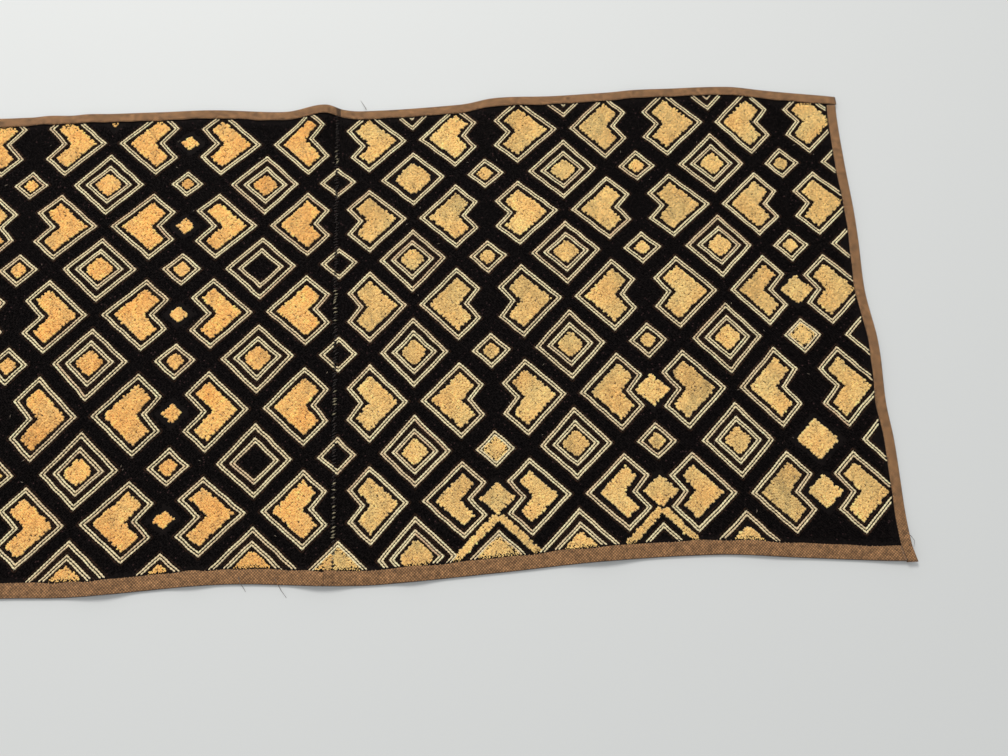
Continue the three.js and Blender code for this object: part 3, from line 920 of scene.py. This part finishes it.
def stitches_along(starts, ends, pitch):
    """Stitches at an even pitch on every side: their places, wavered, their directions and side numbers."""
    span = ends - starts
    length = np.hypot(*span.T)
    counts = np.maximum(np.round(length / pitch).astype(int), 1)
    side = np.repeat(np.arange(len(starts)), counts)
    first = np.repeat(np.cumsum(counts) - counts, counts)
    share = (np.arange(len(side)) - first + 0.5) / counts[side]
    middle = starts[side] + span[side] * share[:, None]
    lean_x, lean_y = lean_at(*middle.T)
    turn = np.arctan2(span[side, 1], span[side, 0])
    x, y = middle[:, 0] + lean_x, middle[:, 1] + lean_y
    waver_x, waver_y = (slow_noise(x, y, size, seed) * WAVER for size, seed in WAVER_WAVES)
    return x + waver_x, y + waver_y, turn, side


def line_pieces(kind, rows, pitch, size, lift, slant, widths, tints_of, material):
    """A piece on each panel with the stitches of these rows that are clear of the seam and the strips.

    A size is a length, a width and a height. tints_of gives a tint for each stitch from its side's number.
    """
    x, y, turn, side_number = stitches_along(*rows, pitch)
    for word, side in SIDES.items():
        keep = (x * side > SEAM_CLEAR) & (past_strip(x, y) > CLEARANCE)
        count = np.count_nonzero(keep)
        z = rise_at(x[keep], y[keep]) + GROUND_TOP + lift
        directions = turn[keep] + slant + random.normal(0, 0.05, count)
        wide = size[1] * random.uniform(*widths, count)
        points, faces = spindles(x[keep], y[keep], z, directions, size[0], wide, size[2])
        tints = np.repeat(tints_of(side_number[keep]), 6, 0)
        new_piece(f"{kind}_{word}", points, faces, material, tints, smooth=True)


# %% [markdown]
# Two cream rows lie side by side on the middle of each line, natural raffia with a slight gloss. Most are
# cream, and some sides have gone a pinkish tan.

# %% Cream lines
CREAM_PITCH = 3.5 * MM
CREAM_SIZE = (7.6 * MM, 2.15 * MM, 1.5 * MM)  # length, width and height
CREAM_LIFT = 0.72 * MM
CREAM_SLANT = 0.09
CREAM_OFFSETS = (-1.3, 1.3)
CREAM_TONE = np.array((0.92, 0.78, 0.47))
TAN_TONE = np.array((0.66, 0.41, 0.24))
cream_material = fibre_material("cream_stitch", 0.55, 0.1, 500, 0.18, 0.25)
cream_rows = line_rows(lambda m, place_in: CREAM_OFFSETS)
tan_shares = np.clip(random.normal(0.12, 0.22, len(cream_rows[0])), 0, 0.85)


def cream_tints(sides):
    """Cream blended with its side's share of tan, times a factor for each stitch."""
    blend = tan_shares[sides][:, None]
    tones = CREAM_TONE * (1 - blend) + TAN_TONE * blend
    return tones * np.clip(random.normal(1, 0.09, len(sides)), 0.7, 1.2)[:, None]


line_pieces(
    "cream_lines", cream_rows, CREAM_PITCH, CREAM_SIZE, CREAM_LIFT, CREAM_SLANT, (0.88, 1.1),
    cream_tints, cream_material,
)

# %% [markdown]
# Dark brown rows of the same stitch flank the cream ones. Inside a nested diamond, two of them fill the
# band between its lines.

# %% Brown rows
BROWN_PITCH = 4.6 * MM
BROWN_SIZE = (8.0 * MM, 2.3 * MM, 1.3 * MM)
BROWN_LIFT = 0.45 * MM
BROWN_SLANT = 0.08
BROWN_TONE = (0.025, 0.0125, 0.0078)
brown_material = fibre_material("brown_stitch", 0.75, 0.0, 450, 0.3, 0.25)


def brown_offsets(m, place_in):
    """Where the brown rows lie beside a line: outside and inside it, and two between nested lines."""
    if len(m["lines"]) == 2 and place_in == 0:
        return (3.7, -3.7, -5.9)
    if len(m["lines"]) == 2:
        return (-3.6,)
    return (3.7, -3.9)


def brown_tints(sides):
    """Dark brown times a factor for each stitch."""
    return spread_tint(BROWN_TONE, len(sides), 1, 0.28)


line_pieces(
    "brown_rows", line_rows(brown_offsets), BROWN_PITCH, BROWN_SIZE, BROWN_LIFT, BROWN_SLANT, (0.85, 1.15),
    brown_tints, brown_material,
)

# %% [markdown]
# The strip round the edge is plain-woven raffia, folded in two over the panel's edge. Its section is a
# narrow trough on its side with a rounded fold, and it is carried along the wavy edge. The strip wavers a
# little in width.

# %% Folded strips
STATION_STEP = 3.0 * MM
FLAT_POINTS = 4
FOLD_POINTS = 7
MAP_LENGTH = 0.24
MAP_ROWS = 3
PAINTED_SHADE = 0.14  # painted shade on the fold's lower half and on its outermost edge
PAINTED_SHADOW_END = 5 * MM  # painted shadow on the top left strip's end, on the steep side of the pucker
FIRST_STRIP_SEED = 20


def strip_section(width):
    """The section as two lines of points, (in, up): outside and inside the folded layer.

    The middle of the layer runs out along the foot, round a half circle and back along the top. The two lines
    lie half a layer to each side of it.
    """
    radius = (STRIP_TOP - STRIP_THICKNESS) / 2
    flat = np.linspace(width, STRIP_TOP / 2, FLAT_POINTS + 1)[:-1]
    turn = np.linspace(-np.pi / 2, np.pi / 2, FOLD_POINTS)
    middle = np.concatenate([
        np.stack([flat, np.full(FLAT_POINTS, STRIP_THICKNESS / 2)], -1),
        STRIP_TOP / 2 + radius * np.stack([-np.cos(turn), np.sin(turn)], -1),
        np.stack([flat[::-1], np.full(FLAT_POINTS, STRIP_TOP - STRIP_THICKNESS / 2)], -1),
    ])
    outward = np.concatenate([
        np.tile((0.0, -1.0), (FLAT_POINTS, 1)),
        np.stack([-np.cos(turn), np.sin(turn)], -1),
        np.tile((0.0, 1.0), (FLAT_POINTS, 1)),
    ])
    return middle + outward * STRIP_THICKNESS / 2, middle - outward * STRIP_THICKNESS / 2


def facing_out(points, faces):
    """True if the solid's volume, the sum of its faces' cones to the origin, is positive."""
    a, b, c, d = (points[faces[:, k]] for k in range(4))
    volume = np.einsum("ij,ij->", a, np.cross(b, c)) + np.einsum("ij,ij->", a, np.cross(c, d))
    return volume > 0


def strip_piece(name, width, start, end, place, material, seed, shadow_end=0.0):
    """A closed strip: its section at every station, where place gives x and y for a station and a way in."""
    stations = np.linspace(start, end, round((end - start) / STATION_STEP) + 1)
    outer, inner = strip_section(width)
    ring = np.concatenate([outer, inner[::-1]])
    waver = 1 + 0.05 * slow_noise(stations, stations * 0, 37 * MM, seed)[:, None]
    inside = np.where(ring[:, 0] > width * 0.4, ring[:, 0] * waver, ring[:, 0])
    x, y = place(stations[:, None], inside)
    points = np.stack([x, y, rise_at(x, y) + ring[:, 1]], -1).reshape(-1, 3)
    n, m, half = len(stations), len(ring), len(outer)
    index = np.arange(n * m).reshape(n, m)
    after = np.roll(index, -1, 1)
    quads = np.stack([index[:-1], after[:-1], after[1:], index[1:]], -1).reshape(-1, 4)
    k = np.arange(half - 1)
    cap = np.stack([k, m - 1 - k, m - 2 - k, k + 1], -1)
    caps = np.concatenate([cap, (cap + (n - 1) * m)[:, ::-1]])
    faces = np.concatenate([quads, caps])
    span = np.hypot(*np.diff(np.concatenate([ring, ring[:1]]), axis=0).T)
    around = np.concatenate([[0], np.cumsum(span)])
    map_row = np.arange(n - 1) * MAP_ROWS // (n - 1)
    first = np.searchsorted(map_row, np.arange(MAP_ROWS))
    u = (stations[:-1] - stations[first[map_row]])[:, None, None]
    step = stations[1] - stations[0]
    u = u + np.array((0, 0, step, step)) + np.zeros((n - 1, m, 1))
    v = np.stack([around[:-1], around[1:], around[1:], around[:-1]], -1)[None] + np.zeros((n - 1, 1, 1))
    v = v + map_row[:, None, None] * MAP_LENGTH * 0.32
    spots = np.stack([u.ravel(), v.ravel()], -1) / MAP_LENGTH
    cap_spots = ring[(caps % m).ravel()] / MAP_LENGTH + (0.88, 0.1)
    cap_spots[cap.size:, 1] += 0.1
    spots = 0.01 + 0.98 * np.concatenate([spots, cap_spots])
    if not facing_out(points, faces):
        spots = spots.reshape(-1, 4, 2)[:, ::-1].reshape(-1, 2)
        faces = faces[:, ::-1]
    # Painted shade: the fold's lower half and foot, and its outermost edge, are darkened in the tint.
    below = (ring[:, 1] < STRIP_TOP * 0.45) & (ring[:, 0] < width * 0.5)
    rim = (ring[:, 1] < STRIP_TOP * 0.8) & (ring[:, 0] < 0.5 * MM)
    tints = np.where(below | rim, PAINTED_SHADE, 1.0)
    tints = np.tile(tints, (n, 1))
    # Painted shadow: the last stretch of a strip is darkened where the pucker falls steeply.
    tints[stations > end - shadow_end] *= 0.3
    tints = np.repeat(tints.reshape(-1, 1), 3, 1)
    return new_piece(name, points, faces, material, tints, spots, smooth=True)


STRIP_THREADS = ((0.42, 0.215, 0.088), (0.15, 0.074, 0.032))
strip_material = woven_material("raffia_strip", *STRIP_THREADS, WEAVE_PITCH, tinted=True)

TOP_LEFT_START = float(TOP_EDGE["along"][0])
TOP_RIGHT_END = float(TOP_EDGE["along"][-1])
LEFT_TOP = float(TOP_EDGE["out"][0]) - TOP_STRIP_WIDTH - CLEARANCE
RIGHT_TOP = float(TOP_EDGE["out"][-1]) - TOP_STRIP_WIDTH - CLEARANCE
LEFT_BOTTOM = float(BOTTOM_EDGE["out"][0])
RIGHT_BOTTOM = float(BOTTOM_EDGE["out"][-1])
BOTTOM_START = float(LEFT_EDGE["out"][0]) + SIDE_STRIP_WIDTH + 4 * CLEARANCE
CORNER_OUT = 577 * MM
CORNER_LENGTH = 12 * MM
BOTTOM_END = CORNER_OUT - SIDE_STRIP_WIDTH - 2 * CLEARANCE


def on_top(along, inside):
    """Where a place on the top strip is: a way along it, and a way in from its edge."""
    return along + 0 * inside, edge_at(TOP_EDGE, along) - inside


def on_bottom(along, inside):
    """The same on the lower strip. Its right end is cut along the side strip, which leans out there."""
    y = edge_at(BOTTOM_EDGE, along) + inside
    near_end = np.clip((along - BOTTOM_END) / CORNER_LENGTH + 1, 0, 1)
    return along + near_end * (edge_at(RIGHT_EDGE, y) - CORNER_OUT), y


def on_left(along, inside):
    """The same on the left strip."""
    return edge_at(LEFT_EDGE, along) + inside, along + 0 * inside


def on_right(along, inside):
    """The same on the right strip."""
    return edge_at(RIGHT_EDGE, along) - inside, along + 0 * inside


STRIPS = [
    ("top_left", TOP_STRIP_WIDTH, TOP_LEFT_START, TOP_STRIP_JOINT - CLEARANCE, on_top),
    ("top_right", TOP_STRIP_WIDTH, TOP_STRIP_JOINT, TOP_RIGHT_END, on_top),
    ("bottom_left", BOTTOM_STRIP_WIDTH, BOTTOM_START, BOTTOM_STRIP_JOINT - CLEARANCE, on_bottom),
    ("bottom_right", BOTTOM_STRIP_WIDTH, BOTTOM_STRIP_JOINT, BOTTOM_END, on_bottom),
    ("left", SIDE_STRIP_WIDTH, LEFT_BOTTOM, LEFT_TOP, on_left),
    ("right", SIDE_STRIP_WIDTH, RIGHT_BOTTOM, RIGHT_TOP, on_right),
]
for number, (word, width, start, end, place) in enumerate(STRIPS):
    shadow_end = PAINTED_SHADOW_END if word == "top_left" else 0.0
    seed = FIRST_STRIP_SEED + number
    strip = strip_piece(f"strip_{word}", width, start, end, place, strip_material, seed, shadow_end)
    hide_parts(f"binding_{word}")

# %% [markdown]
# The strip is sewn down by small whip stitches over its inner edge, a tan dot every half centimetre. The
# panels are joined by dark stitches across the seam, with some natural raffia where the seam was mended.

# %% Hem and seam stitches
HEM_PITCH = 5.2 * MM
SEAM_PITCH = 3.4 * MM
HEM_SIZE = (2.8 * MM, 1.3 * MM, 0.9 * MM)
SEAM_SIZE = (6.0 * MM, 1.9 * MM, 1.5 * MM)
HEM_TONE = np.array((0.33, 0.19, 0.095))
FIBRE_TONE = np.array((0.13, 0.11, 0.09))
SEAM_CREAM = [(193, 208), (-7, 39), (-105, -73), (-246, -167)]

hem_parts = []
for word, width, start, end, place in STRIPS:
    stations = np.arange(start + 4 * MM, end - 3 * MM, HEM_PITCH)
    stations = stations + random.normal(0, 0.5 * MM, len(stations))
    x, y = place(stations, np.full(len(stations), width - 0.7 * MM))
    across = 0.0 if word in SIDES else np.pi / 2
    hem_parts.append(np.stack([x, y, across + random.normal(0, 0.3, len(stations))]))
x, y, turn = np.concatenate(hem_parts, 1)
z = rise_at(x, y) + STRIP_TOP - 0.15 * MM
points, faces = spindles(x, y, z, turn, *HEM_SIZE)
hem_material = fibre_material("hem_stitch", 0.6, 0.1, 500, 0.3, 0.25)
tints = spread_tint(HEM_TONE, len(x), 6, 0.22)
new_piece("hem_stitches", points, faces, hem_material, tints, smooth=True)

y = np.arange(-252 * MM, 250 * MM, SEAM_PITCH)
y = y + random.normal(0, 0.4 * MM, len(y))
x = random.normal(0, 0.5 * MM, len(y))
z = rise_at(x, y) + GROUND_TOP + 0.9 * MM
turn = 0.5 + random.normal(0, 0.3, len(y))
points, faces = spindles(x, y, z, turn, *SEAM_SIZE)
mended = np.any([(y > low * MM) & (y < high * MM) for low, high in SEAM_CREAM], axis=0)
mended &= random.random(len(y)) < 0.5
tones = np.where(mended[:, None], CREAM_TONE * 0.28, np.array(BROWN_TONE) * 0.6)
tones = tones * np.clip(random.normal(1, 0.2, len(y)), 0.6, 1.4)[:, None]
new_piece("seam_stitches", points, faces, hem_material, np.repeat(tones, 6, 0), smooth=True)

# %% [markdown]
# A few fibres have worked loose: two ends at the lower edge, a little loop at the lower right corner, and a
# hair on the upper edge. Each is a thin tube along a short row of points. Pale flecks of lint lie here and
# there.

# %% Loose fibres
FIBRE_HALF = 0.4 * MM


def fibre(rows, half=FIBRE_HALF, thin=0.35):
    """A closed tube of square section along a smooth path through rows of x, y and height, in mm.

    The path is a straight blend between rows, sampled finely and averaged once with its neighbours.
    """
    rows = np.array(rows, float) * MM
    at = np.linspace(0, len(rows) - 1, 5 * len(rows))
    path = np.stack([np.interp(at, np.arange(len(rows)), rows[:, k]) for k in range(3)], -1)
    path[1:-1] = (path[:-2] + path[1:-1] * 2 + path[2:]) / 4
    path[:, 2] += rise_at(path[:, 0], path[:, 1]) * 0.5
    along = np.gradient(path, axis=0)
    side = np.stack([-along[:, 1], along[:, 0], np.zeros(len(path))], -1)
    side /= np.maximum(np.linalg.norm(side, axis=1), 1e-9)[:, None]
    size = half * np.linspace(1, thin, len(path))[:, None]
    up = np.array((0, 0, 1.0))
    ring = np.stack([path + side * size, path + up * size, path - side * size, path - up * size], 1)
    n = len(path)
    index = np.arange(n * 4).reshape(n, 4)
    after = np.roll(index, -1, 1)
    walls = np.stack([index[:-1], after[:-1], after[1:], index[1:]], -1).reshape(-1, 4)
    ends = np.array([index[0, ::-1], index[-1]])
    return ring.reshape(-1, 3), np.concatenate([walls, ends])


FIBRES = [
    [(-91, -258, 4.2), (-89.9, -263.5, 3.4), (-86.8, -268.3, 1.6), (-84.8, -272.2, 0.9)],
    [(-56, -261, 4.2), (-54.1, -265.2, 3.2), (-50.1, -272.9, 1.2), (-45.1, -279.7, 0.9)],
    [(574, -247, 4.2), (577.4, -250.1, 4.0), (581, -255.2, 2.6), (577.9, -260.9, 4.2)],
    [(34, 258, 4.4), (32, 262, 4.6), (28.6, 268, 4.2), (27.5, 270.5, 3.8)],
]
parts = [fibre(rows) for rows in FIBRES]
starts = np.cumsum([0] + [len(p) for p, f in parts[:-1]])
points = np.concatenate([p for p, f in parts])
faces = np.concatenate([f + start for (p, f), start in zip(parts, starts)])
tints = np.tile(FIBRE_TONE, (len(points), 1))
new_piece("loose_fibres", points, faces, hem_material, tints, smooth=True)

FLECKS = np.array([
    (123.0, 133.4, 0.9), (77.9, 112.3, 0.5), (153.3, 108.7, 2.2), (112.5, 87.8, 0.2),
    (-365.0, 177.0, 0.4), (-246.0, 176.0, 2.0), (-175.0, 174.0, 0.9),
])
LINT = 130
x = np.concatenate([FLECKS[:, 0] * MM, random.uniform(-560, 560, LINT) * MM])
y = np.concatenate([FLECKS[:, 1] * MM, random.uniform(-245, 240, LINT) * MM])
turn = np.concatenate([FLECKS[:, 2], random.uniform(0, np.pi, LINT)])
length = np.concatenate([np.full(len(FLECKS), 4.5 * MM), random.uniform(2.0, 4.5, LINT) * MM])
z = rise_at(x, y) + GROUND_TOP + 1.65 * MM
points, faces = spindles(x, y, z, turn, length, 0.8 * MM, 0.6 * MM)
tints = spread_tint((0.21, 0.165, 0.12), len(x), 6, 0.25)
new_piece("pale_flecks", points, faces, hem_material, tints, smooth=True)
